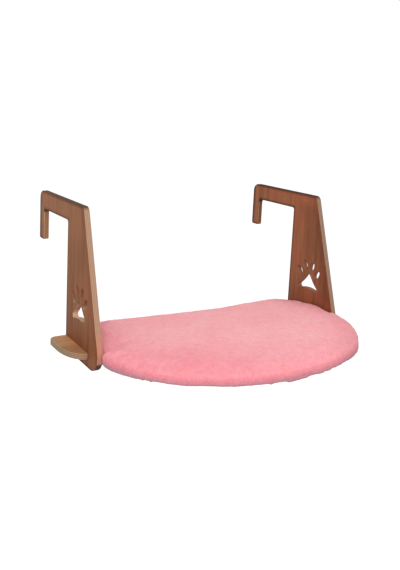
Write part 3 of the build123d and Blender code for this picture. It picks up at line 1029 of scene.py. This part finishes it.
def make_tapes(name, node, body, backing_low, up, line, loose, weave, nylon):
    """Two tapes with a field of hooks or loops that stands up (1) or hangs down (-1)."""
    low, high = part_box(node)
    for side in (-1, 1):
        middle = side * (high.x - TAPE_WIDTH / 2)
        ring = tape_ring(middle)
        label = f"{name}_{'left' if side < 0 else 'right'}"
        tape = flat_slab(label, ring, backing_low, backing_low + TAPE_BACKING, weave)
        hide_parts(node)
        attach(tape, body)
        base = backing_low + (TAPE_BACKING if up > 0 else 0.0)
        strands = strand_field(middle, low, high, base, up, line, loose)
        field = new_object(f"{label}_field", *strands, nylon)
        smooth(field)
        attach(field, body)
        if up < 0:
            points, faces = tape_seams(middle, low, high, backing_low - STITCH_RADIUS / 2)
            sewn = new_object(f"{label}_stitching", points, faces, SEWING)
            smooth(sewn)
            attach(sewn, body)
        ring_area(ring)


# Half of the zip tape's cross-section: share of its thickness, height above the zip's middle line
ZIP_SECTION = ((0.0, 0.00035), (0.9, 0.00035), (1.0, 0.0006), (0.8, 0.0009), (0.8, 0.0023),
               (0.6, 0.0026), (0.0, 0.0026))
ZIP_STEPS = 180
ZIP_WAVE = 0.12  # unevenness of the webbing's face, as a share of its thickness


def make_zip_tape(side, weave):
    """Woven half of the zip tape, with a corded edge beside the coil."""
    node = "zip_tape_upper" if side > 0 else "zip_tape_lower"
    low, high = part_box(node)
    points, faces = [], []
    count = len(ZIP_SECTION)
    for i in range(ZIP_STEPS + 1):
        x = low.x + (high.x - low.x) * i / ZIP_STEPS
        wave = ZIP_WAVE * noise.noise(Vector((x * 60, side * 5.0, 1.0)))
        for share, off in ZIP_SECTION:
            y = low.y + (high.y - low.y) * min(1.0, max(0.0, share + (wave if share > 0 else 0.0)))
            points.append((x, y, ZIP_MIDDLE + side * min(off, (ZIP_HIGH.z - ZIP_LOW.z) / 2)))
    for i in range(ZIP_STEPS):
        for k in range(count):
            a, b = i * count + k, i * count + (k + 1) % count
            face = [a, b, b + count, a + count]
            faces.append(face if side < 0 else face[::-1])
    first, last = list(range(count)), [ZIP_STEPS * count + k for k in range(count)]
    faces.append(first[::-1] if side < 0 else first)
    faces.append(last if side < 0 else last[::-1])
    piece = new_object(f"zip_webbing_{'upper' if side > 0 else 'lower'}", points, faces, weave)
    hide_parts(node)
    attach(piece, "cushion")


def make_camera():
    yaw, pitch, roll = (math.radians(a) for a in (CAMERA_YAW, CAMERA_PITCH, CAMERA_ROLL))
    forward = Vector((math.sin(yaw) * math.cos(pitch), math.cos(yaw) * math.cos(pitch),
                      -math.sin(pitch)))
    level = Vector((math.cos(yaw), -math.sin(yaw), 0))
    down = forward.cross(level)
    right = math.cos(roll) * level + math.sin(roll) * down
    up = math.sin(roll) * level - math.cos(roll) * down
    camera = bpy.data.objects.new("camera", bpy.data.cameras.new("camera"))
    bpy.context.scene.collection.objects.link(camera)
    turn = Matrix((right, up, -forward)).transposed().to_4x4()
    camera.matrix_world = Matrix.Translation(CAMERA_PLACE) @ turn
    camera.data.sensor_width = 36.0
    camera.data.lens = 36.0 * FOCAL_PIXELS / PHOTO_HEIGHT
    camera.data.shift_y = -AXIS_ABOVE_MIDDLE / PHOTO_HEIGHT
    camera.data.clip_start = 0.01
    bpy.context.scene.camera = camera


def add_lamp(name, place, size, power):
    data = bpy.data.lights.new(name, "AREA")
    data.shape = "DISK"
    data.size = size
    data.energy = power
    lamp = bpy.data.objects.new(name, data)
    bpy.context.scene.collection.objects.link(lamp)
    lamp.location = place
    aim = Vector(LAMP_TARGET) - Vector(place)
    lamp.rotation_euler = aim.to_track_quat("-Z", "Y").to_euler()


def seen_directly(tree):
    """1 for rays that show the background: from the camera, a reflection or glass."""
    path = tree.nodes.new("ShaderNodeLightPath")
    value = path.outputs["Is Camera Ray"]
    for name in ("Is Glossy Ray", "Is Transmission Ray"):
        node = tree.nodes.new("ShaderNodeMath")
        node.operation = "MAXIMUM"
        tree.links.new(value, node.inputs[0])
        tree.links.new(path.outputs[name], node.inputs[1])
        value = node.outputs[0]
    return value


def make_world():
    world = bpy.data.worlds.new("studio")
    bpy.context.scene.world = world
    world.use_nodes = True
    tree = world.node_tree
    light = tree.nodes["Background"]
    light.inputs["Color"].default_value = (1.0, 1.0, 1.0, 1.0)
    light.inputs["Strength"].default_value = WORLD_LIGHT
    white = tree.nodes.new("ShaderNodeBackground")
    white.inputs["Color"].default_value = (1.0, 1.0, 1.0, 1.0)
    mix = tree.nodes.new("ShaderNodeMixShader")
    tree.links.new(seen_directly(tree), mix.inputs["Fac"])
    tree.links.new(light.outputs[0], mix.inputs[1])
    tree.links.new(white.outputs[0], mix.inputs[2])
    tree.links.new(mix.outputs[0], tree.nodes["World Output"].inputs["Surface"])


def make_floor():
    material = bpy.data.materials.new("pale_floor")
    material.use_nodes = True
    tree = material.node_tree
    tree.nodes.remove(tree.nodes["Principled BSDF"])
    diffuse = tree.nodes.new("ShaderNodeBsdfDiffuse")
    diffuse.inputs["Color"].default_value = (0.8, 0.8, 0.8, 1.0)
    glow = tree.nodes.new("ShaderNodeEmission")
    strength = tree.nodes.new("ShaderNodeMath")
    strength.operation = "MULTIPLY"
    strength.inputs[1].default_value = FLOOR_LIFT
    tree.links.new(seen_directly(tree), strength.inputs[0])
    tree.links.new(strength.outputs[0], glow.inputs["Strength"])
    total = tree.nodes.new("ShaderNodeAddShader")
    tree.links.new(diffuse.outputs[0], total.inputs[0])
    tree.links.new(glow.outputs[0], total.inputs[1])
    tree.links.new(total.outputs[0], tree.nodes["Material Output"].inputs["Surface"])
    corners = [(FLOOR_HALF * x, FLOOR_HALF * y, -FLOOR_BELOW)
               for x, y in ((-1, -1), (1, -1), (1, 1), (-1, 1))]
    floor = new_object("floor", corners, [[0, 1, 2, 3]], material)


wood = bracket_wood()
for node in ("left_bracket", "right_bracket"):
    dress(node, wood)
dress("shelf_board", board_wood())
dress("zip_coil", coil_nylon())
metal = plated_metal()
for node in ("zip_end_stops", "zip_slider", "zip_pull"):
    dress(node, metal)

SEWING = thread("sewing_thread", srgb(240, 188, 194), srgb(204, 140, 148))
make_cushion()
make_base_cloth()
hook_weave = woven("hook_weave", srgb(228, 224, 216), srgb(190, 184, 174), 1500)
loop_weave = woven("loop_weave", srgb(234, 230, 223), srgb(200, 194, 185), 1500)
make_tapes("hook_tape", "shelf_hook_tapes", "frame", HOOK_LOW.z, 1, HOOK_LINE, 0.1, hook_weave,
           moulded_nylon("hook_nylon", srgb(232, 228, 222), srgb(206, 200, 192)))
make_tapes("loop_tape", "cushion_loop_tapes", "cushion", LOOP_HIGH.z - TAPE_BACKING, -1, LOOP_LINE,
           0.6, loop_weave, moulded_nylon("loop_nylon", srgb(240, 237, 231), srgb(216, 211, 203)))
zip_weave = woven("zip_weave", srgb(234, 164, 171), srgb(196, 122, 132), 2200, axes=(0, 2))
for side in (-1, 1):
    make_zip_tape(side, zip_weave)

make_camera()
make_world()
make_floor()
for lamp in LAMPS:
    add_lamp(*lamp)

bpy.context.scene.view_settings.view_transform = "Standard"
